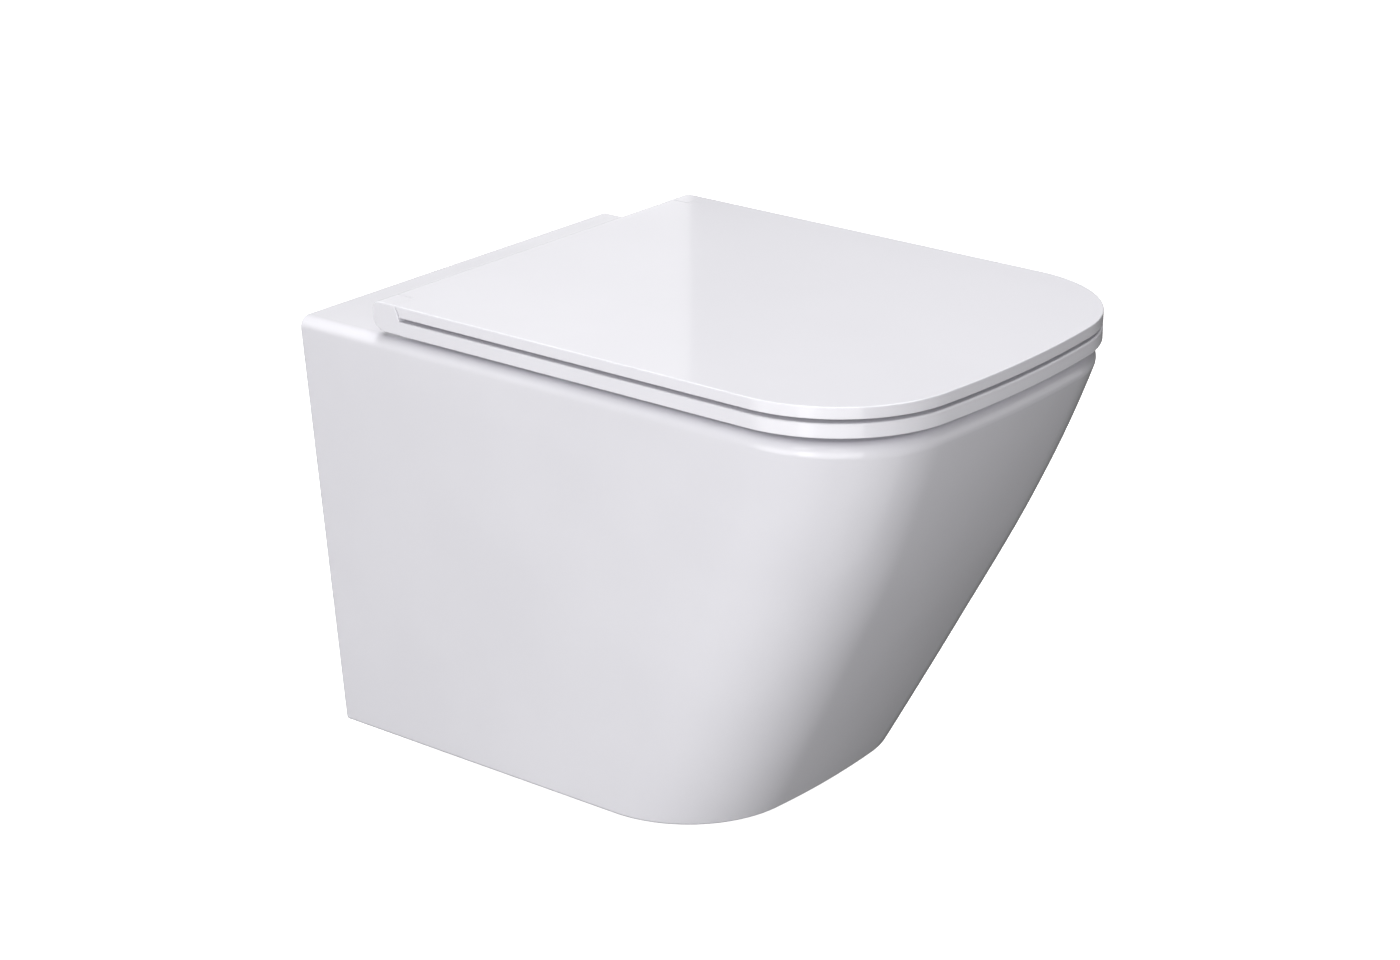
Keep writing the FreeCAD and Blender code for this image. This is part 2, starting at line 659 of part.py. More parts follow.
# -------------------------------------------------------------- seat ring
def yz_face(points_and_arcs, x):
    """Face in a plane x = const from a list of segments: ('l', p, q) or
    ('a', p, mid, q), each point (y, z)."""
    edges = []
    for seg in points_and_arcs:
        pts = [V(x, y, z) for y, z in seg[1:]]
        if seg[0] == "l":
            edges.append(Part.LineSegment(pts[0], pts[1]).toShape())
        else:
            edges.append(Part.Arc(pts[0], pts[1], pts[2]).toShape())
    return Part.Face(Part.Wire(edges))


def polar(r, deg):
    """Point at radius r about the hinge axis; 0 is forward, 90 is up, 180 is
    to the rear."""
    t = math.radians(deg)
    return (HINGE_Y - r * math.cos(t), HINGE_Z + r * math.sin(t))


REAR_Y = HINGE_Y + BARREL_R
rc = (REAR_Y - REAR_ROUND, LID_TOP - REAR_ROUND)
corner_mid = (rc[0] + REAR_ROUND * math.sqrt(0.5), rc[1] + REAR_ROUND * math.sqrt(0.5))
rear_profile = [
    ("a", (rc[0], LID_TOP), corner_mid, (REAR_Y, rc[1])),
    ("l", (REAR_Y, rc[1]), (REAR_Y, HINGE_Z)),
    ("a", (REAR_Y, HINGE_Z), polar(BARREL_R, 225), (HINGE_Y, HINGE_Z - BARREL_R)),
]


def lid_outline(z, rear, inset=0.0):
    return outline(
        z, rear, LID_DEPTH - inset, LID_HALF_REAR - inset, LID_HALF_FRONT - inset, LID_BOW, LID_CORNER_R - inset
    )


def outer_edge(e, z):
    """Edges of the outline at height z, except the straight back."""
    bb = e.BoundBox
    return flat_at(e, z) and not (bb.YMax - bb.YMin < 0.02)


ring = prism(lid_outline(SEAT_BOT, -SEAT_REAR), SEAT_TOP - SEAT_BOT)
ring = fillet(ring, 1.3, lambda e: outer_edge(e, SEAT_TOP), "seat top edge")
ring = fillet(ring, 1.0, lambda e: outer_edge(e, SEAT_BOT), "seat bottom edge")
hole = prism(superellipse(SEAT_BOT - 1, SEAT_HOLE_Y, SEAT_HOLE_L, SEAT_HOLE_W, 2.5), 20)
ring = ring.cut(hole)


def hole_edge(e, z):
    bb = e.BoundBox
    return flat_at(e, z) and bb.XMax < SEAT_HOLE_W + 2 and bb.XMin > -SEAT_HOLE_W - 2 and bb.YMax - bb.YMin > 50


ring = fillet(ring, 4.0, lambda e: hole_edge(e, SEAT_TOP), "seat hole top")
ring = fillet(ring, 1.5, lambda e: hole_edge(e, SEAT_BOT), "seat hole bottom")

# raised ears at the two rear corners; they continue the seat's side faces
ear_profile = [
    ("l", (-103.2, SEAT_TOP - 0.001), (-98.5, LID_TOP)),
    ("l", (-98.5, LID_TOP), (rc[0], LID_TOP)),
] + rear_profile + [
    ("l", (HINGE_Y, HINGE_Z - BARREL_R), (HINGE_Y, SEAT_BOT + 0.1)),
    ("l", (HINGE_Y, SEAT_BOT + 0.1), (-112.0, SEAT_BOT + 0.1)),
    ("l", (-112.0, SEAT_BOT + 0.1), (-112.0, SEAT_TOP - 0.001)),
    ("l", (-112.0, SEAT_TOP - 0.001), (-103.2, SEAT_TOP - 0.001)),
]
ear_profile = [seg for seg in ear_profile if (V(*seg[1], 0) - V(*seg[-1], 0)).Length > 1e-6]
side_limit = prism(lid_outline(SEAT_BOT - 1, 60.0), 40)
ears = []
for s in (1, -1):
    x0, x1 = (EAR_IN, 185.0) if s > 0 else (-185.0, -EAR_IN)
    ear = yz_face(ear_profile, x0).extrude(V(x1 - x0, 0, 0))
    ear = ear.common(side_limit)
    sign = s

    def ear_edge(e, s=s):
        bb = e.BoundBox
        far = max(abs(bb.XMin), abs(bb.XMax))
        return far > 178.3 and bb.XMax - bb.XMin < 0.3 and bb.YMin > -103.5 and bb.ZMax > SEAT_BOT + 0.3

    ear = fillet(ear, 0.9, ear_edge, "ear edge")
    # knuckle that holds the damper, tied to the rear bar of the ring
    k0, k1 = (95.4, EAR_IN + 1.0) if s > 0 else (-EAR_IN - 1.0, -95.4)
    knuckle = cyl_x(k0, k1, HINGE_Y, HINGE_Z, KNUCKLE_R)
    web = box(k0, k1, SEAT_REAR - 1.0, HINGE_Y, SEAT_BOT + 0.1, 95.5)
    ears += [ear, knuckle, web]
ring = ring.fuse(ears)
bores = []
for s in (1, -1):
    x0, x1 = (90.0, 156.0) if s > 0 else (-156.0, -90.0)
    bores.append(cyl_x(x0, x1, HINGE_Y, HINGE_Z, DAMPER_R + DAMPER_FIT))
BUFFER_R = 9.0
SEAT_PADS = [(143.0, -230.0), (-143.0, -230.0), (128.0, -425.0), (-128.0, -425.0)]
for x, y in SEAT_PADS:
    bores.append(cyl_z(SEAT_BOT - 1, SEAT_BOT + 2.0, x, y, BUFFER_R + 0.02))
for c in bores:
    ring = ring.cut(c)
ring = one(ring)
export(ring, "seat_ring")

pads = []
for x, y in SEAT_PADS:
    p = cyl_z(DECK_Z + 0.3, SEAT_BOT + 2.0, x, y, BUFFER_R)
    p = fillet(p, 1.5, lambda e: flat_at(e, DECK_Z + 0.3), "seat pad")
    pads.append(p)
export(group(pads), "seat_buffers")

# -------------------------------------------------------------------- lid
plate = prism(lid_outline(LID_BOT, 92.0), LID_TOP - LID_BOT)
plate = fillet(plate, 0.9, lambda e: outer_edge(e, LID_TOP), "lid top edge")
plate = fillet(plate, 0.8, lambda e: outer_edge(e, LID_BOT), "lid bottom edge")
recess = prism(lid_outline(LID_BOT - 1, 118.0, LID_BORDER), LID_RECESS + 1)
recess = fillet(recess, 3.0, lambda e: flat_at(e, LID_BOT + LID_RECESS), "lid recess")
plate = plate.cut(recess)

# clear of the ears: a round cut about the hinge axis
half = EAR_IN - SIDE_GAP
for s in (1, -1):
    x0, x1 = (half, 190.0) if s > 0 else (-190.0, -half)
    plate = plate.cut(cyl_x(x0, x1, HINGE_Y, HINGE_Z, LID_CUT_R))
    plate = plate.cut(box(x0, x1, HINGE_Y - 2, -60, 90, 120))

front_low = (HINGE_Y - math.sqrt(BARREL_R**2 - (LID_BOT - HINGE_Z) ** 2), LID_BOT)
barrel_profile = [
    ("l", (-104.0, LID_TOP), (rc[0], LID_TOP)),
] + rear_profile + [
    ("a", (HINGE_Y, HINGE_Z - BARREL_R), polar(BARREL_R, 315), front_low),
    ("l", front_low, (-104.0, LID_BOT)),
    ("l", (-104.0, LID_BOT), (-104.0, LID_TOP)),
]
barrel = yz_face(barrel_profile, -half).extrude(V(2 * half, 0, 0))
lid = one(plate.fuse(barrel))


def sector(deg, x0, x1):
    """Everything below and behind the cowl, from its rear end round to the
    lid's underside in front."""
    far = 40.0
    end = polar(far, deg)
    pts = [
        (HINGE_Y, HINGE_Z),
        end,
        (HINGE_Y + far, HINGE_Z - far) if deg <= 180 else end,
        (HINGE_Y - 8.1, HINGE_Z - far),
        (HINGE_Y - 8.1, HINGE_Z + 2.3),
    ]
    clean = [pts[0], pts[1]]
    for p in pts[2:]:
        if abs(p[0] - clean[-1][0]) + abs(p[1] - clean[-1][1]) > 1e-6:
            clean.append(p)
    poly = [V(x0, y, z) for y, z in clean]
    poly.append(poly[0])
    cut = Part.Face(Part.makePolygon(poly)).extrude(V(x1 - x0, 0, 0))
    # the part in front of the axis below the lid's underside
    front = box(x0, x1, -103.0, HINGE_Y - 8.0, HINGE_Z - far, LID_BOT)
    return cut.fuse(front)


COWL_BLOCK = 130.0     # end of the cowl over the hinge blocks
COWL_KNUCKLE = 165.0   # end of the cowl over the seat's knuckles
for s in (1, -1):
    for a, b2, deg in ((BLOCK_IN - 0.9, BLOCK_OUT + 1.2, COWL_BLOCK), (BLOCK_OUT + 1.2, half + 1, COWL_KNUCKLE)):
        x0, x1 = (a, b2) if s > 0 else (-b2, -a)
        lid = lid.cut(sector(deg, x0, x1))
        lid = lid.cut(cyl_x(x0, x1, HINGE_Y, HINGE_Z, COWL_R))
    x0, x1 = (16.0, 62.0) if s > 0 else (-62.0, -16.0)
    lid = lid.cut(cyl_x(x0, x1, HINGE_Y, HINGE_Z, DAMPER_R + DAMPER_FIT))
lid = one(lid)
export(lid, "lid")

LID_PADS = [(138.0, -262.0), (-138.0, -262.0), (112.0, -446.0), (-112.0, -446.0)]
pads = []
for x, y in LID_PADS:
    p = cyl_z(SEAT_TOP + 0.3, LID_BOT + LID_RECESS, x, y, 6.0)
    p = fillet(p, 1.2, lambda e: flat_at(e, SEAT_TOP + 0.3), "lid pad")
    pads.append(p)
export(group(pads), "lid_buffers")
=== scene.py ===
import json
import math

import bmesh
import bpy
import numpy as np
from mathutils import Matrix, Vector


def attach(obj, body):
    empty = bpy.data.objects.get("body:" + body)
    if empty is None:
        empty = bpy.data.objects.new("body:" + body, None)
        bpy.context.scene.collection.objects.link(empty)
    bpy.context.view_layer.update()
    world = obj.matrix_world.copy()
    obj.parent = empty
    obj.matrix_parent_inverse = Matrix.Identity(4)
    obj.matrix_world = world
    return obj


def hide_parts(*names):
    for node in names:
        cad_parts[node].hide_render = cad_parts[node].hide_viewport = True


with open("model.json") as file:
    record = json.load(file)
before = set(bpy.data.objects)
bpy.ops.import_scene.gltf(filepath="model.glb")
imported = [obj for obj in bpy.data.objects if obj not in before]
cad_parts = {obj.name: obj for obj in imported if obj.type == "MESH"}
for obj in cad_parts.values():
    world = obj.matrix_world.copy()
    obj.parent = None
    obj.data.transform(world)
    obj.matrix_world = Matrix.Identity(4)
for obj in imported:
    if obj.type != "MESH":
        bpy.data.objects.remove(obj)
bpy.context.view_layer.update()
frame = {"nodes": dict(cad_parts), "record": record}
scene = bpy.context.scene
NODES = frame["nodes"]

# ---------------------------------------------------------------------------
# Wall hung toilet: looks. Metres, +Z up, front towards -Y, wall plane y = 0.
# ---------------------------------------------------------------------------

# pan, in millimetres, as the construction has it
DECK_Z = 80.0
PAN_H = 337.0
TOP = dict(rear=177.5, front=173.4, depth=514.3, bow=14.0, r=93.8)
BOT = dict(rear=145.3, front=141.3, depth=357.1, bow=14.7, r=90.4)
FRONT_CURVE = [(0.0, 0.0), (0.15, 0.11), (0.35, 0.29), (0.65, 0.61), (1.0, 1.0)]
RIM_ROUND = 8.5
FOOT_ROUND = 4.5
BACK_ROUND = 3.0
HINGE_Y, HINGE_Z = -88.5, 97.2
POST_X, POST_Y = 77.5, -90.5
# bowl: depth below deck, centre y, half length, half width
BOWL = [
    (0.0, -314.0, 157.0, 122.0),
    (40.0, -314.0, 153.0, 118.0),
    (110.0, -300.0, 117.0, 90.0),
    (170.0, -274.0, 76.0, 60.0),
    (215.0, -258.0, 47.0, 44.0),
    (255.0, -250.0, 36.0, 34.0),
]
BOWL_POWER = 2.4
BOWL_ROUND = 6.0
# flush channel
INLET_Z, CHANNEL_R = 35.0, 20.0
SUMP_CUT = -100.0


# ------------------------------------------------------------------- camera
def make_camera():
    data = bpy.data.cameras.new("camera")
    cam = bpy.data.objects.new("camera", data)
    scene.collection.objects.link(cam)
    cam.location = (-1.7750, -1.6370, 0.8170)
    look = Vector((0.73199, 0.58189, -0.35445))
    cam.rotation_mode = "QUATERNION"
    cam.rotation_quaternion = look.to_track_quat("-Z", "Y")
    data.sensor_fit = "HORIZONTAL"
    data.sensor_width = 36.0
    data.lens = 83.65
    data.shift_x = 0.00706
    data.shift_y = -0.00483
    data.clip_start, data.clip_end = 0.05, 60.0
    scene.camera = cam
    return cam


make_camera()


# ---------------------------------------------------------------- materials
class Mat:
    """A node material with a few short calls."""

    def __init__(self, name):
        self.m = bpy.data.materials.new(name)
        self.m.use_nodes = True
        self.t = self.m.node_tree
        self.t.nodes.clear()
        self.out = self.add("ShaderNodeOutputMaterial")
        self.b = self.add("ShaderNodeBsdfPrincipled")
        self.link(self.b, "BSDF", self.out, "Surface")
        self.coord = self.add("ShaderNodeTexCoord")

    def add(self, kind, **values):
        n = self.t.nodes.new(kind)
        for k, v in values.items():
            setattr(n, k, v)
        return n

    def link(self, a, out, b, into):
        self.t.links.new(a.outputs[out], b.inputs[into])

    def set(self, **values):
        for k, v in values.items():
            self.b.inputs[k.replace("_", " ")].default_value = v

    def noise(self, scale, detail=2.0, rough=0.5, stretch=None):
        n = self.add("ShaderNodeTexNoise")
        n.inputs["Scale"].default_value = scale
        n.inputs["Detail"].default_value = detail
        n.inputs["Roughness"].default_value = rough
        if stretch:
            mp = self.add("ShaderNodeMapping")
            mp.inputs["Scale"].default_value = stretch
            self.link(self.coord, "Object", mp, "Vector")
            self.link(mp, "Vector", n, "Vector")
        else:
            self.link(self.coord, "Object", n, "Vector")
        return n

    def ramp(self, src, out, stops):
        r = self.add("ShaderNodeValToRGB")
        e = r.color_ramp.elements
        e[0].position, e[0].color = stops[0][0], (*stops[0][1], 1)
        e[1].position, e[1].color = stops[-1][0], (*stops[-1][1], 1)
        for p, c in stops[1:-1]:
            x = e.new(p)
            x.color = (*c, 1)
        self.link(src, out, r, "Fac")
        return r

    def bumps(self, layers):
        """layers: (node, output, strength, distance in metres)"""
        last = None
        for src, out, strength, dist in layers:
            b = self.add("ShaderNodeBump")
            b.inputs["Strength"].default_value = strength
            b.inputs["Distance"].default_value = dist
            self.link(src, out, b, "Height")
            if last is not None:
                self.link(last, "Normal", b, "Normal")
            last = b
        self.link(last, "Normal", self.b, "Normal")

    def spread(self, src, out, lo, hi, into):
        """A value from lo to hi by a texture, into a socket."""
        mr = self.add("ShaderNodeMapRange")
        mr.inputs["From Min"].default_value = 0.3
        mr.inputs["From Max"].default_value = 0.7
        mr.inputs["To Min"].default_value = lo
        mr.inputs["To Max"].default_value = hi
        self.link(src, out, mr, "Value")
        self.link(mr, "Result", self.b, into)


def glaze():
    m = Mat("glazed_ceramic")
    big = m.noise(9.0, 2.0)
    c = m.ramp(big, "Fac", [(0.35, (0.824, 0.815, 0.862)), (0.65, (0.848, 0.839, 0.886))])
    m.link(c, "Color", m.b, "Base Color")
    fine = m.noise(160.0, 3.0)
    m.spread(fine, "Fac", 0.075, 0.115, "Roughness")
    m.set(IOR=1.52, Coat_Weight=0.35, Coat_Roughness=0.03, Coat_IOR=1.5)
    wave = m.noise(14.0, 1.0)
    m.bumps([(wave, "Fac", 0.10, 0.0016), (fine, "Fac", 0.04, 0.00012)])
    return m.m


def plastic_white():
    m = Mat("duroplast_white")
    big = m.noise(7.0, 2.0)
    c = m.ramp(big, "Fac", [(0.35, (0.846, 0.837, 0.882)), (0.65, (0.860, 0.851, 0.896))])
    m.link(c, "Color", m.b, "Base Color")
    fine = m.noise(900.0, 2.0)
    m.spread(fine, "Fac", 0.05, 0.085, "Roughness")
    m.set(IOR=1.5)
    m.bumps([(fine, "Fac", 0.03, 0.00004)])
    return m.m


def metal(name, colour, low, high, scale, stretch=None, bump=0.05, dist=0.00004, aniso=0.0):
    m = Mat(name)
    n = m.noise(scale, 4.0, 0.6, stretch)
    dark = tuple(x * 0.9 for x in colour)
    c = m.ramp(n, "Fac", [(0.35, dark), (0.65, colour)])
    m.link(c, "Color", m.b, "Base Color")
    m.spread(n, "Fac", low, high, "Roughness")
    m.set(Metallic=1.0, Anisotropic=aniso)
    m.bumps([(n, "Fac", bump, dist)])
    return m.m


def zinc():
    m = Mat("zinc_steel")
    v = m.add("ShaderNodeTexVoronoi", feature="F1")
    v.inputs["Scale"].default_value = 260.0
    m.link(m.coord, "Object", v, "Vector")
    n = m.noise(45.0, 4.0)
    c = m.ramp(v, "Distance", [(0.1, (0.50, 0.51, 0.53)), (0.6, (0.64, 0.65, 0.66))])
    m.link(c, "Color", m.b, "Base Color")
    m.spread(n, "Fac", 0.28, 0.45, "Roughness")
    m.set(Metallic=1.0)
    m.bumps([(v, "Distance", 0.12, 0.00008)])
    return m.m


def matte(name, a, b, low, high, scale, bump, dist, **extra):
    m = Mat(name)
    n = m.noise(scale, 4.0, 0.6)
    c = m.ramp(n, "Fac", [(0.35, a), (0.65, b)])
    m.link(c, "Color", m.b, "Base Color")
    m.spread(n, "Fac", low, high, "Roughness")
    if extra:
        m.set(**extra)
    m.bumps([(n, "Fac", bump, dist)])
    return m.m


MATS = {
    "ceramic": glaze(),
    "duroplast": plastic_white(),
    "chrome": metal("chrome", (0.78, 0.79, 0.80), 0.05, 0.11, 220.0, None, 0.03, 0.00002),
    "stainless": metal("stainless", (0.62, 0.61, 0.60), 0.2, 0.34, 900.0, (0.03, 1.0, 1.0), 0.12, 0.00003, 0.4),
    "zinc_steel": zinc(),
    "damper_plastic": matte("damper_plastic", (0.19, 0.20, 0.21), (0.25, 0.26, 0.27), 0.42, 0.56, 420.0, 0.10, 0.00006),
    "button_plastic": matte("button_plastic", (0.50, 0.51, 0.53), (0.56, 0.57, 0.59), 0.28, 0.4, 700.0, 0.08, 0.00004),
    "spring_wire": metal("spring_wire", (0.56, 0.55, 0.53), 0.2, 0.32, 1200.0, None, 0.05, 0.00001),
    "clear_pad": matte("clear_pad", (0.70, 0.71, 0.73), (0.78, 0.79, 0.81), 0.3, 0.42, 500.0, 0.08, 0.00006,
                       Subsurface_Weight=0.35, Subsurface_Scale=0.004),
    "gasket_rubber": matte("gasket_rubber", (0.60, 0.60, 0.61), (0.68, 0.68, 0.69), 0.45, 0.6, 600.0, 0.10, 0.00005),
    "dowel_rubber": matte("dowel_rubber", (0.025, 0.025, 0.027), (0.045, 0.045, 0.048), 0.55, 0.75, 380.0, 0.15, 0.00008),
    "cone_brass": metal("cone_brass", (0.78, 0.60, 0.30), 0.22, 0.36, 500.0, (1.0, 1.0, 0.05), 0.1, 0.00003),
    "bush_nylon": matte("bush_nylon", (0.72, 0.71, 0.66), (0.78, 0.77, 0.72), 0.35, 0.5, 520.0, 0.08, 0.00005,
                        Subsurface_Weight=0.2, Subsurface_Scale=0.003),
}

SLOT = {}
for row in frame["record"].get("subparts", frame["record"].get("sub_parts", [])):
    SLOT[row.get("node")] = row.get("material_slot")
for name, obj in NODES.items():
    slot = SLOT.get(name)
    mat = MATS.get(slot, MATS["ceramic"])
    if not obj.material_slots:
        obj.data.materials.append(mat)
    for s in obj.material_slots:
        s.material = mat
print("slots", {n: SLOT.get(n) for n in list(NODES)[:4]})


# ------------------------------------------------------------------ shapes
def half_outline(yr, yf, w0, w1, bow, r, ns, nc, nf):
    """Right half of an outline, from the rear of the side to the front's
    middle: points and outward normals, in millimetres."""
    front_r = (w1 * w1 + bow * bow) / (2.0 * bow)
    c = np.array([0.0, -yf + front_r])
    a = np.array([w0, -yr])
    d = np.array([w1 - w0, -(yf - bow) + yr])
    d = d / np.linalg.norm(d)
    n = np.array([d[1], -d[0]])
    if n[0] > 0:
        n = -n
    m = a + n * r - c
    bb = m @ d
    t = -bb + math.sqrt(bb * bb - (m @ m - (front_r - r) ** 2))
    p = a + n * r + d * t
    on_side = a + d * t
    u = (p - c) / np.linalg.norm(p - c)
    k = np.linspace(0, 1, ns, endpoint=False)[:, None]
    side = a + (on_side - a) * k
    n_side = np.repeat(-n[None], ns, 0)
    a0 = math.atan2(-n[1], -n[0])
    a1 = math.atan2(u[1], u[0])
    ang = np.linspace(a0, a1, nc, endpoint=False)
    n_corner = np.c_[np.cos(ang), np.sin(ang)]
    corner = p + r * n_corner
    ang = np.linspace(a1, -math.pi / 2, nf)
    n_front = np.c_[np.cos(ang), np.sin(ang)]
    front = c + front_r * n_front
    return np.vstack([side, corner, front]), np.vstack([n_side, n_corner, n_front])


def curve_at(share):
    """Smooth front curve between the given stations."""
    xs = [p[0] for p in FRONT_CURVE]
    ys = [p[1] for p in FRONT_CURVE]
    n = len(xs)
    h = [xs[i + 1] - xs[i] for i in range(n - 1)]
    dl = [(ys[i + 1] - ys[i]) / h[i] for i in range(n - 1)]
    m = [0.0] * n
    for i in range(1, n - 1):
        w1, w2 = 2 * h[i] + h[i - 1], h[i] + 2 * h[i - 1]
        m[i] = (w1 + w2) / (w1 / dl[i - 1] + w2 / dl[i])
    m[0] = ((2 * h[0] + h[1]) * dl[0] - h[0] * dl[1]) / (h[0] + h[1])
    m[-1] = ((2 * h[-1] + h[-2]) * dl[-1] - h[-1] * dl[-2]) / (h[-1] + h[-2])
    i = max(k for k in range(n - 1) if xs[k] <= share + 1e-12)
    t = (share - xs[i]) / h[i]
    return (
        (2 * t**3 - 3 * t**2 + 1) * ys[i]
        + (t**3 - 2 * t**2 + t) * h[i] * m[i]
        + (-2 * t**3 + 3 * t**2) * ys[i + 1]
        + (t**3 - t**2) * h[i] * m[i + 1]
    )


def spline(xs, ys):
    """Natural cubic through the stations, as a function."""
    xs, ys = np.array(xs, float), np.array(ys, float)
    n = len(xs)
    h = np.diff(xs)
    a = np.zeros((n, n))
    b = np.zeros(n)
    a[0, 0] = a[-1, -1] = 1
    for i in range(1, n - 1):
        a[i, i - 1], a[i, i], a[i, i + 1] = h[i - 1], 2 * (h[i - 1] + h[i]), h[i]
        b[i] = 6 * ((ys[i + 1] - ys[i]) / h[i] - (ys[i] - ys[i - 1]) / h[i - 1])
    k = np.linalg.solve(a, b)

    def f(x):
        i = int(min(max(np.searchsorted(xs, x) - 1, 0), n - 2))
        t, w = x - xs[i], xs[i + 1] - x
        return (
            k[i] * w**3 / (6 * h[i]) + k[i + 1] * t**3 / (6 * h[i])
            + (ys[i] / h[i] - k[i] * h[i] / 6) * w + (ys[i + 1] / h[i] - k[i + 1] * h[i] / 6) * t
        )

    return f


def lerp(a, b, t):
    return a + (b - a) * t


def unit(v):
    return v / np.linalg.norm(v, axis=-1, keepdims=True)


class Sheet:
    """A surface held as a table of points by height row and loop column, from
    which any height can be read per column, with its exact normal."""

    def __init__(self, rows, sign):
        self.p = np.array(rows)                      # rows, columns, xyz
        gu = np.gradient(self.p, axis=0)
        gv = np.gradient(self.p, axis=1)
        self.n = unit(np.cross(gv, gu)) * sign

    def at(self, k):
        """Point and normal at fractional row k, one for each column."""
        k = np.clip(k, 0, len(self.p) - 1.000001)
        i = k.astype(int)
        t = (k - i)[:, None]
        c = np.arange(self.p.shape[1])
        return (
            self.p[i, c] * (1 - t) + self.p[i + 1, c] * t,
            unit(self.n[i, c] * (1 - t) + self.n[i + 1, c] * t),
        )

    def touch(self, plane, r, up):
        """Fractional row per column where a ball of radius r that rests on the
        plane from inside touches the surface."""
        f = self.p[:, :, 2] - (plane - up * r + r * self.n[:, :, 2])
        out = np.zeros(self.p.shape[1])
        for c in range(self.p.shape[1]):
            s = np.sign(f[:, c])
            i = int(np.nonzero(s[:-1] != s[1:])[0][0 if up > 0 else -1])
            out[c] = i + f[i, c] / (f[i, c] - f[i + 1, c])
        return out


def roll(p, n, r, up, steps):
    """Round from a surface point to the flat face above (up 1) or below (-1):
    rows of points and normals, starting past the point itself."""
    target = np.zeros_like(n)
    target[:, 2] = up
    c = p - r * n
    cosw = np.clip((n * target).sum(1), -1, 1)
    w = np.arccos(cosw)[:, None]
    rows = []
    for k in range(1, steps + 1):
        t = k / steps
        d = (np.sin((1 - t) * w) * n + np.sin(t * w) * target) / np.sin(w)
        rows.append((c + r * d, unit(d)))
    return rows


def inside(q, lp):
    """Which points q lie inside the closed loop lp, in the plane."""
    x, y = q[:, 0][:, None], q[:, 1][:, None]
    x0, y0 = lp[:, 0], lp[:, 1]
    x1, y1 = np.roll(x0, -1), np.roll(y0, -1)
    hit = ((y0 > y) != (y1 > y)) & (x < (x1 - x0) * (y - y0) / np.where(y1 == y0, 1e-12, y1 - y0) + x0)
    return hit.sum(1) % 2 == 1


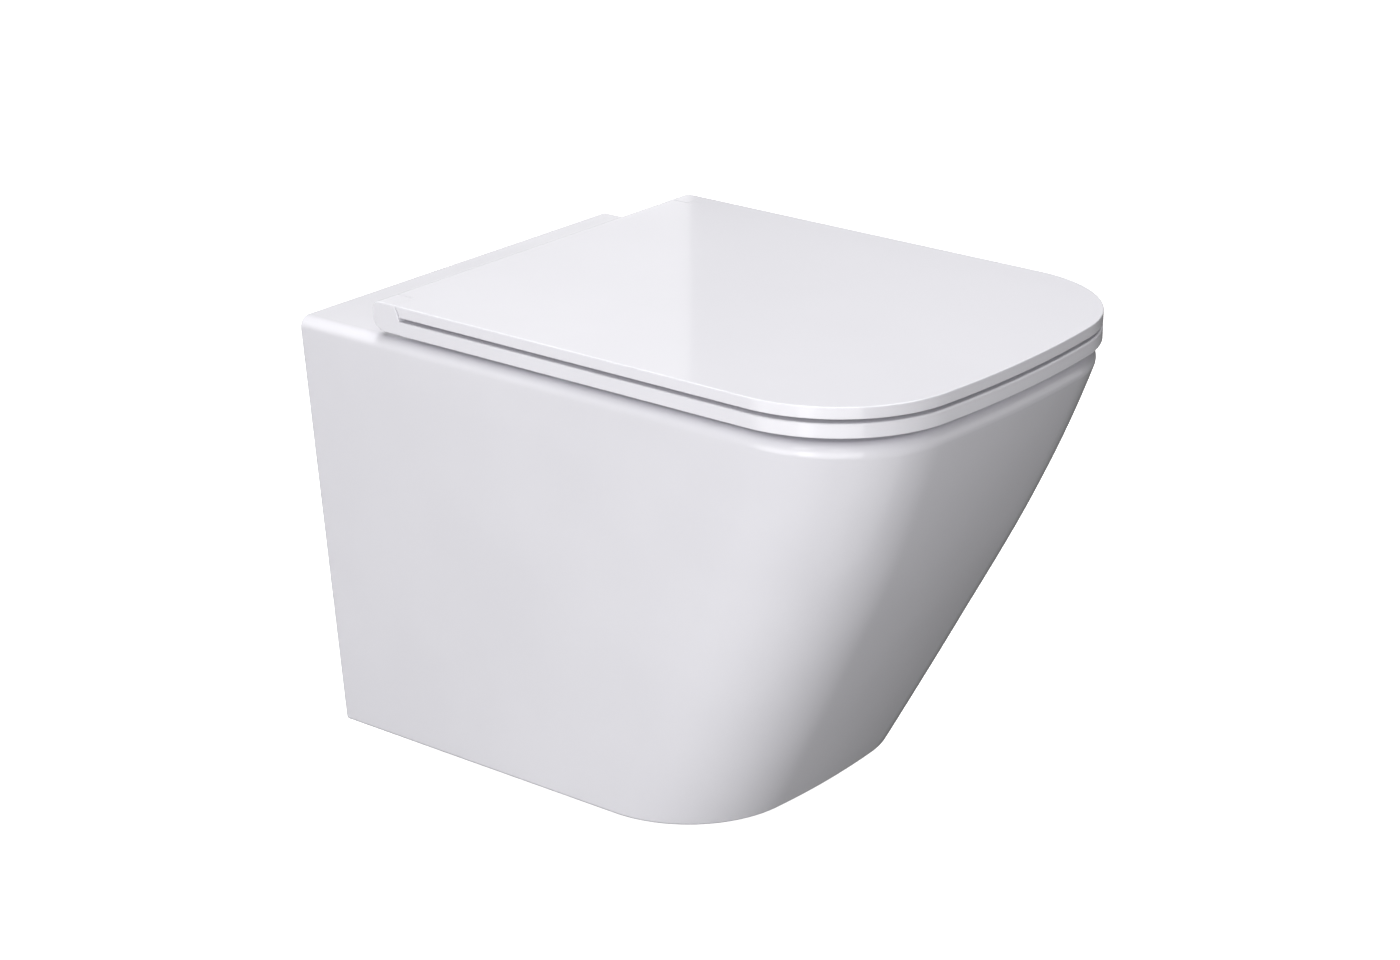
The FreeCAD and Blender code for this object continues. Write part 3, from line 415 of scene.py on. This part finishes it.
class Shell:
    """Collects grids of points with normals into one mesh."""

    def __init__(self):
        self.v, self.n, self.f = [], [], []
        self.count = 0

    def grid(self, pts, nrm, closed=False, flip=False, leave=None):
        """leave: rows and columns (i0, i1, j0, j1) whose faces are left out"""
        pts, nrm = np.array(pts), np.array(nrm)
        a, b = pts.shape[:2]
        base = self.count
        self.v.append(pts.reshape(-1, 3))
        self.n.append(nrm.reshape(-1, 3))
        self.count += a * b
        i, j = np.meshgrid(np.arange(a - 1), np.arange(b if closed else b - 1), indexing="ij")
        if leave:
            out = (i >= leave[0]) & (i < leave[1]) & (j >= leave[2]) & (j < leave[3])
            i, j = i[~out], j[~out]
        j2 = (j + 1) % b
        q = np.stack([i * b + j, i * b + j2, (i + 1) * b + j2, (i + 1) * b + j], -1).reshape(-1, 4) + base
        self.f += (q[:, ::-1] if flip else q).tolist()

    def flat(self, outer, holes, z, up):
        """Flat region between an outer loop and holes, at height z."""
        from mathutils.geometry import delaunay_2d_cdt

        loops = [np.asarray(outer)] + [np.asarray(h) for h in holes]
        pts, edges = [], []
        for lp in loops:
            s = len(pts)
            pts += [Vector(q[:2]) for q in lp]
            edges += [(s + i, s + (i + 1) % len(lp)) for i in range(len(lp))]
        out = delaunay_2d_cdt(pts, edges, [], 0, 1e-7)
        v, f = np.array([list(q) for q in out[0]]), out[2]
        mid = np.array([v[list(t)].mean(0) for t in f])

        keep = inside(mid, loops[0][:, :2])
        for lp in loops[1:]:
            keep &= ~inside(mid, lp[:, :2])
        base = self.count
        self.v.append(np.c_[v, np.full(len(v), z)])
        self.n.append(np.tile([0.0, 0.0, up], (len(v), 1)))
        self.count += len(v)
        for t, k in zip(f, keep):
            if k:
                t = list(t)
                a, b, c = (v[i] for i in t)
                turn = (b[0] - a[0]) * (c[1] - a[1]) - (b[1] - a[1]) * (c[0] - a[0])
                if (turn > 0) != (up > 0):
                    t = t[::-1]
                self.f.append([i + base for i in t])

    def window(self, loop, loop_n, place, x, z, r):
        """Fill a left-out block round an opening of radius r, as seen along y;
        place gives the surface's point and normal at x and z."""
        from mathutils.geometry import delaunay_2d_cdt

        pts, nrm = [np.array(q) for q in loop], [np.array(q) for q in loop_n]
        edges = [(i, (i + 1) % len(loop)) for i in range(len(loop))]
        start = len(pts)
        for k, rr in enumerate((r, r * 1.07, r * 1.18)):
            for i in range(72):
                w = 2 * math.pi * (i + 0.5 * k) / 72
                q, n = place(x + rr * math.cos(w), z + rr * math.sin(w))
                pts.append(q)
                nrm.append(n)
                if k == 0:
                    edges.append((start + i, start + (i + 1) % 72))
        out = delaunay_2d_cdt([Vector((q[0], q[2])) for q in pts], edges, [], 0, 1e-7)
        src = [o[0] for o in out[3]]
        mid = np.array([np.mean([pts[src[i]][[0, 2]] for i in t], axis=0) for t in out[2]])
        keep = inside(mid, np.array(loop)[:, [0, 2]]) & (np.hypot(mid[:, 0] - x, mid[:, 1] - z) > r * 0.9985)
        base = self.count
        self.v.append(np.array([pts[i] for i in src]))
        self.n.append(np.array([nrm[i] for i in src]))
        self.count += len(src)
        self.f += [[i + base for i in t] for t, k in zip(out[2], keep) if k]

    def build(self, name, mat, weld=2e-6):
        v = np.vstack(self.v) / 1000.0
        n = np.vstack(self.n)
        me = bpy.data.meshes.new(name)
        me.from_pydata(v.tolist(), [], self.f)
        me.update()
        flip = 0
        # faces wind the way their normals point
        fn = np.zeros(len(me.polygons) * 3)
        me.polygons.foreach_get("normal", fn)
        fn = fn.reshape(-1, 3)
        want = np.array([n[list(f)].mean(0) for f in self.f])
        bad = (fn * want).sum(1) < 0
        if bad.any():
            faces = [f[::-1] if b else f for f, b in zip(self.f, bad)]
            me.clear_geometry()
            me.from_pydata(v.tolist(), [], faces)
            me.update()
        # join the grids where they meet, and carry the normals over
        keys = {}
        idx = np.zeros(len(v), int)
        keep = []
        q = np.round(v / weld).astype(np.int64)
        for i, k in enumerate(map(tuple, q)):
            if k not in keys:
                keys[k] = len(keep)
                keep.append(i)
            idx[i] = keys[k]
        faces, corner_n = [], []
        for p in me.polygons:
            vs = [idx[i] for i in p.vertices]
            ns = [n[i] for i in p.vertices]
            out_v, out_n = [], []
            for a, b in zip(vs, ns):
                if a not in out_v:
                    out_v.append(a)
                    out_n.append(b)
            if len(out_v) > 2:
                faces.append(out_v)
                corner_n += out_n
        me.clear_geometry()
        me.from_pydata(v[keep].tolist(), [], faces)
        me.update()
        me.polygons.foreach_set("use_smooth", np.ones(len(me.polygons), bool))
        me.normals_split_custom_set([tuple(x) for x in corner_n])
        me.materials.append(mat)
        o = bpy.data.objects.new(name, me)
        scene.collection.objects.link(o)
        return o


# ------------------------------------------------------------------ the pan
NS, NC, NF = 64, 44, 30
ROWS = 260


def pan_row(share, y_rear):
    keep = curve_at(share)
    p, n = half_outline(
        -y_rear,
        lerp(TOP["depth"], BOT["depth"], keep),
        lerp(TOP["rear"], BOT["rear"], share),
        lerp(TOP["front"], BOT["front"], share),
        lerp(TOP["bow"], BOT["bow"], share),
        lerp(TOP["r"], BOT["r"], share),
        NS, NC, NF,
    )
    return np.c_[p, np.full(len(p), DECK_Z - PAN_H * share)]


def both(rows):
    """Right half and its mirror image, as full rows from the left rear round
    the front to the right rear."""
    out = []
    for p, n in rows:
        mp, mn = p[::-1][1:] * [-1, 1, 1], n[::-1][1:] * [-1, 1, 1]
        out.append((np.vstack([p, mp]), np.vstack([n, mn])))
    return out


def build_pan():
    skin = Sheet([pan_row(s, -BACK_ROUND) for s in np.linspace(0, 1, ROWS)], 1.0)
    if skin.n[ROWS // 2, 5, 0] < 0:
        skin.n = -skin.n
    skin.n[:, -1, 0] = 0.0
    skin.n = unit(skin.n)
    k0 = skin.touch(DECK_Z, RIM_ROUND, 1)
    k1 = skin.touch(DECK_Z - PAN_H, FOOT_ROUND, -1)
    rows = []
    s0, n0 = skin.at(k0)
    s1, n1 = skin.at(k1)
    rim = roll(s0, n0, RIM_ROUND, 1, 12)[::-1]
    foot = roll(s1, n1, FOOT_ROUND, -1, 10)
    rows = rim + [skin.at(lerp(k0, k1, t)) for t in np.linspace(0, 1, 190)] + foot
    shell = Shell()
    full = both(rows)
    shell.grid([r[0] for r in full], [r[1] for r in full])

    # bowl: rim round and wall, down to the sump
    depths = [b[0] for b in BOWL]
    f_cy, f_hl, f_hw = (spline(depths, [b[k] for b in BOWL]) for k in (1, 2, 3))
    t = np.linspace(0, 2 * math.pi, 288, endpoint=False)

    def bowl_row(d):
        c, s = np.cos(t), np.sin(t)
        x = f_hw(d) * np.sign(c) * np.abs(c) ** (2.0 / BOWL_POWER)
        y = f_cy(d) + f_hl(d) * np.sign(s) * np.abs(s) ** (2.0 / BOWL_POWER)
        return np.c_[x, y, np.full(len(t), DECK_Z - d)]

    bowl = Sheet([bowl_row(d) for d in np.linspace(0, DECK_Z - SUMP_CUT, 230)], 1.0)
    # the loop closes on itself, so its slopes are taken across the join
    p = bowl.p
    gv = (np.roll(p, -1, axis=1) - np.roll(p, 1, axis=1)) / 2
    gu = np.gradient(p, axis=0)
    bowl.n = unit(np.cross(gv, gu))
    if bowl.n[40, 0, 0] > 0:
        bowl.n = -bowl.n
    kb = bowl.touch(DECK_Z, BOWL_ROUND, 1)
    b0, bn = bowl.at(kb)
    rows_b = roll(b0, bn, BOWL_ROUND, 1, 12)[::-1]
    last = float(len(bowl.p) - 1)
    rows_b += [bowl.at(lerp(kb, np.full(len(t), last), q)) for q in np.linspace(0, 1, 150)]
    rows_b[-1][0][:, 2] = SUMP_CUT

    def rear_wall(x, z):
        def g(x, z):
            d = DECK_Z - z
            return f_cy(d) + f_hl(d) * (1 - abs(x / f_hw(d)) ** BOWL_POWER) ** (1 / BOWL_POWER)

        e = 0.05
        n = np.array([(g(x + e, z) - g(x - e, z)) / (2 * e), -1.0, (g(x, z + e) - g(x, z - e)) / (2 * e)])
        return np.array([x, g(x, z), z]), n / np.linalg.norm(n)

    # the flush water's outlet in the bowl's rear wall
    mid_col = len(t) // 4
    j0, j1 = mid_col - 9, mid_col + 9
    heights = np.array([r[0][mid_col, 2] for r in rows_b])
    i0 = int(np.nonzero(heights > INLET_Z + CHANNEL_R + 4.5)[0][-1])
    i1 = int(np.nonzero(heights < INLET_Z - CHANNEL_R - 4.5)[0][0])
    shell.grid([r[0] for r in rows_b], [r[1] for r in rows_b], closed=True, leave=(i0, i1, j0, j1))
    rim_ij = [(i0, j) for j in range(j0, j1)] + [(i, j1) for i in range(i0, i1)]
    rim_ij += [(i1, j) for j in range(j1, j0, -1)] + [(i, j0) for i in range(i1, i0, -1)]
    shell.window([rows_b[i][0][j] for i, j in rim_ij], [rows_b[i][1][j] for i, j in rim_ij],
                 rear_wall, 0.0, INLET_Z, CHANNEL_R)

    # deck and underside
    edge = full[0][0]
    deck = np.vstack([edge, [[x, -BACK_ROUND, DECK_Z] for x in np.linspace(edge[-1, 0], edge[0, 0], 24)[1:-1]]])
    holes = [rows_b[0][0]]
    ring = np.linspace(0, 2 * math.pi, 40, endpoint=False)
    for s in (1, -1):
        holes.append(np.c_[s * POST_X + 7.0 * np.cos(ring), POST_Y + 7.0 * np.sin(ring)])
    shell.flat(deck, holes, DECK_Z, 1)
    low = full[-1][0]
    base = np.vstack([low, [[x, -BACK_ROUND, 0] for x in np.linspace(low[-1, 0], low[0, 0], 24)[1:-1]]])
    shell.flat(base, [], DECK_Z - PAN_H, -1)

    # round along the rear edge, all the way round the open back
    def across(x0, x1, z, up):
        return [(np.array([x, -BACK_ROUND, z]), np.array([0, 0, up])) for x in np.linspace(x0, x1, 24)[1:-1]]

    loop = [(r[0][0], r[1][0]) for r in full]
    loop += across(low[0, 0], low[-1, 0], DECK_Z - PAN_H, -1.0)
    loop += [(r[0][-1], r[1][-1]) for r in full[::-1]]
    loop += across(edge[-1, 0], edge[0, 0], DECK_Z, 1.0)
    lp = np.array([q[0] for q in loop])
    ln = np.array([q[1] for q in loop])
    ln[:, 1] = 0
    ln = unit(ln)
    strips = []
    for k in range(9):
        w = math.pi / 2 * k / 8
        pos = lp - ln * BACK_ROUND * (1 - math.cos(w))
        pos[:, 1] = -BACK_ROUND + BACK_ROUND * math.sin(w)
        nn = ln * math.cos(w)
        nn[:, 1] = math.sin(w)
        strips.append((pos, nn))
    shell.grid([s[0] for s in strips], [s[1] for s in strips], closed=True)
    return shell.build("pan_glaze", MATS["ceramic"])


def weighted_normals(o, sharp_deg=32.0):
    """Welded copy of a mesh: rounds flow into the flat faces beside them, and
    real corners stay sharp."""
    me = o.data
    bm = bmesh.new()
    bm.from_mesh(me)
    bmesh.ops.remove_doubles(bm, verts=bm.verts, dist=2e-6)
    bmesh.ops.dissolve_degenerate(bm, edges=bm.edges, dist=1e-7)
    lim = math.radians(sharp_deg)
    for e in bm.edges:
        e.smooth = len(e.link_faces) != 2 or e.calc_face_angle(0.0) < lim
        if len(e.link_faces) == 2 and e.calc_face_angle(0.0) >= lim:
            e.smooth = False
    for f in bm.faces:
        f.smooth = True
    bm.to_mesh(me)
    bm.free()
    md = o.modifiers.new("weighted", "WEIGHTED_NORMAL")
    md.keep_sharp = True
    md.mode = "FACE_AREA_WITH_ANGLE"
    md.weight = 60
    return o


def copy_node(node, name, mat):
    me = NODES[node].data.copy()
    me.name = name
    for a in [a for a in me.attributes if a.name == "custom_normal"]:
        me.attributes.remove(a)
    o = bpy.data.objects.new(name, me)
    scene.collection.objects.link(o)
    me.materials.clear()
    me.materials.append(mat)
    return o


def pan_inside(outer):
    """What the outer glaze leaves: sump, trapway, spigot, inlet, ledges and
    the hollow, from the construction's own mesh."""
    from mathutils.bvhtree import BVHTree

    o = copy_node("ceramic_pan", "pan_casting", MATS["ceramic"])
    me = o.data
    bm = bmesh.new()
    bm.from_mesh(me)
    bmesh.ops.bisect_plane(
        bm, geom=bm.verts[:] + bm.edges[:] + bm.faces[:], dist=1e-7,
        plane_co=(0, 0, SUMP_CUT / 1000.0), plane_no=(0, 0, 1),
    )
    om = outer.data
    tree = BVHTree.FromPolygons([v.co for v in om.vertices], [tuple(p.vertices) for p in om.polygons])
    near = {}
    for v in bm.verts:
        hit = tree.find_nearest(v.co, 0.003)
        near[v.index] = hit[3] is not None and hit[3] < 0.0014
    bm.verts.ensure_lookup_table()
    drop = []
    for f in bm.faces:
        if all(near[v.index] for v in f.verts):
            hit = tree.find_nearest(f.calc_center_median(), 0.003)
            if hit[3] is not None and hit[3] < 0.0014 and abs(hit[1].dot(f.normal)) > 0.6:
                drop.append(f)
    print("pan: faces kept from the casting", len(bm.faces) - len(drop), "dropped", len(drop))
    bmesh.ops.delete(bm, geom=drop, context="FACES")
    # small patches left alone just under the glaze are covered by it, so they go
    place = {}
    for f in bm.faces:
        for v in f.verts:
            place.setdefault(tuple(round(c * 1e6) for c in v.co), []).append(f)
    left, stray = set(bm.faces), []
    while left:
        stack, island = [left.pop()], []
        while stack:
            f = stack.pop()
            island.append(f)
            for v in f.verts:
                for g in place[tuple(round(c * 1e6) for c in v.co)]:
                    if g in left:
                        left.remove(g)
                        stack.append(g)
        if len(island) < 500:
            stray += island
    print("pan: faces in small patches", len(stray))
    bmesh.ops.delete(bm, geom=stray, context="FACES")
    bm.to_mesh(me)
    bm.free()
    return weighted_normals(o)


pan = build_pan()
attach(pan, "pan")
casting = pan_inside(pan)
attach(casting, "pan")
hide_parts("ceramic_pan")

for node, name, body in (("lid", "lid_cover", "lid"), ("seat_ring", "seat_cover", "seat")):
    o = weighted_normals(copy_node(node, name, MATS["duroplast"]))
    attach(o, body)
    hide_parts(node)


# ------------------------------------------------------- floor and lighting
def plane(name, size, z):
    me = bpy.data.meshes.new(name)
    s = size / 2
    me.from_pydata([(-s, -s, z), (s, -s, z), (s, s, z), (-s, s, z)], [], [(0, 1, 2, 3)])
    o = bpy.data.objects.new(name, me)
    scene.collection.objects.link(o)
    return o


# the floor is seen, but doesn't light the object from below, as the photo's
# cut-out white ground doesn't
floor = plane("floor", 40.0, -0.320)
fm = Mat("floor_white")
fn = fm.noise(3.0, 3.0)
fc = fm.ramp(fn, "Fac", [(0.3, (0.985, 0.985, 0.985)), (0.7, (1.0, 1.0, 1.0))])
fm.link(fc, "Color", fm.b, "Base Color")
fm.link(fc, "Color", fm.b, "Emission Color")
fm.set(Roughness=0.85, Emission_Strength=0.95)
floor.data.materials.append(fm.m)
floor.visible_diffuse = False
floor.visible_glossy = False
floor.visible_transmission = False
floor.visible_shadow = False


def area(name, place, target, size, power, colour=(1, 1, 1), camera=False):
    d = bpy.data.lights.new(name, "AREA")
    d.shape = "RECTANGLE"
    d.size, d.size_y = size
    d.energy = power
    d.color = colour
    o = bpy.data.objects.new(name, d)
    scene.collection.objects.link(o)
    o.location = place
    o.rotation_mode = "QUATERNION"
    o.rotation_quaternion = (Vector(target) - Vector(place)).to_track_quat("-Z", "Y")
    o.visible_camera = camera
    return o


world = bpy.data.worlds.new("world")
scene.world = world
world.use_nodes = True
bg = world.node_tree.nodes["Background"]
bg.inputs["Color"].default_value = (1.0, 1.0, 1.0, 1)
bg.inputs["Strength"].default_value = 0.116

AIM = (0.0, -0.25, -0.05)
area("tops", (0, -0.25, 2.4), AIM, (0.6, 0.6), 32.43)
area("topf", (-0.1, -1.3, 2.4), AIM, (0.7, 0.7), 1.48)
area("topr", (0.9, -0.9, 2.3), AIM, (0.7, 0.7), 12.3)
area("left", (-2.6, -0.2, 0.1), AIM, (2.4, 2.0), 27.72)
area("left_front", (-2.0, -1.7, 0.2), AIM, (2.2, 2.2), 32.04)
area("key_left", (-1.811, -0.569, 1.788), AIM, (0.5, 0.5), 3.4)
area("key_front", (-1.3, -1.55, 1.788), AIM, (0.5, 0.5), 2.64)
area("back_left", (-1.8, 2.0, 0.8), AIM, (1.8, 1.8), 6.56)
area("back_fill", (-0.4, 2.8, -0.1), AIM, (1.6, 1.6), 12.0)
area("low_front", (-0.3, -2.0, -1.5), AIM, (1.6, 1.6), 2.48)
area("right_front", (2.0, -2.2, 0.3), AIM, (1.6, 1.6), 3.84)
# tall cards behind the lid, meeting in the upright line that it reflects
area("card_l0", (1.076, 2.29, 0.225), (0.293, 1.667, 0.225), (2.6, 1.05), 5.57)
area("card_l1", (1.076, 2.29, 1.025), (0.293, 1.667, 1.025), (2.6, 0.55), 2.04)
area("card_r1", (2.694, 0.254, 1.025), (1.911, -0.368, 1.025), (2.6, 0.55), 0.32)

scene.view_settings.view_transform = "Standard"
scene.view_settings.look = "None"
scene.view_settings.exposure = 0.0
scene.view_settings.gamma = 1.0
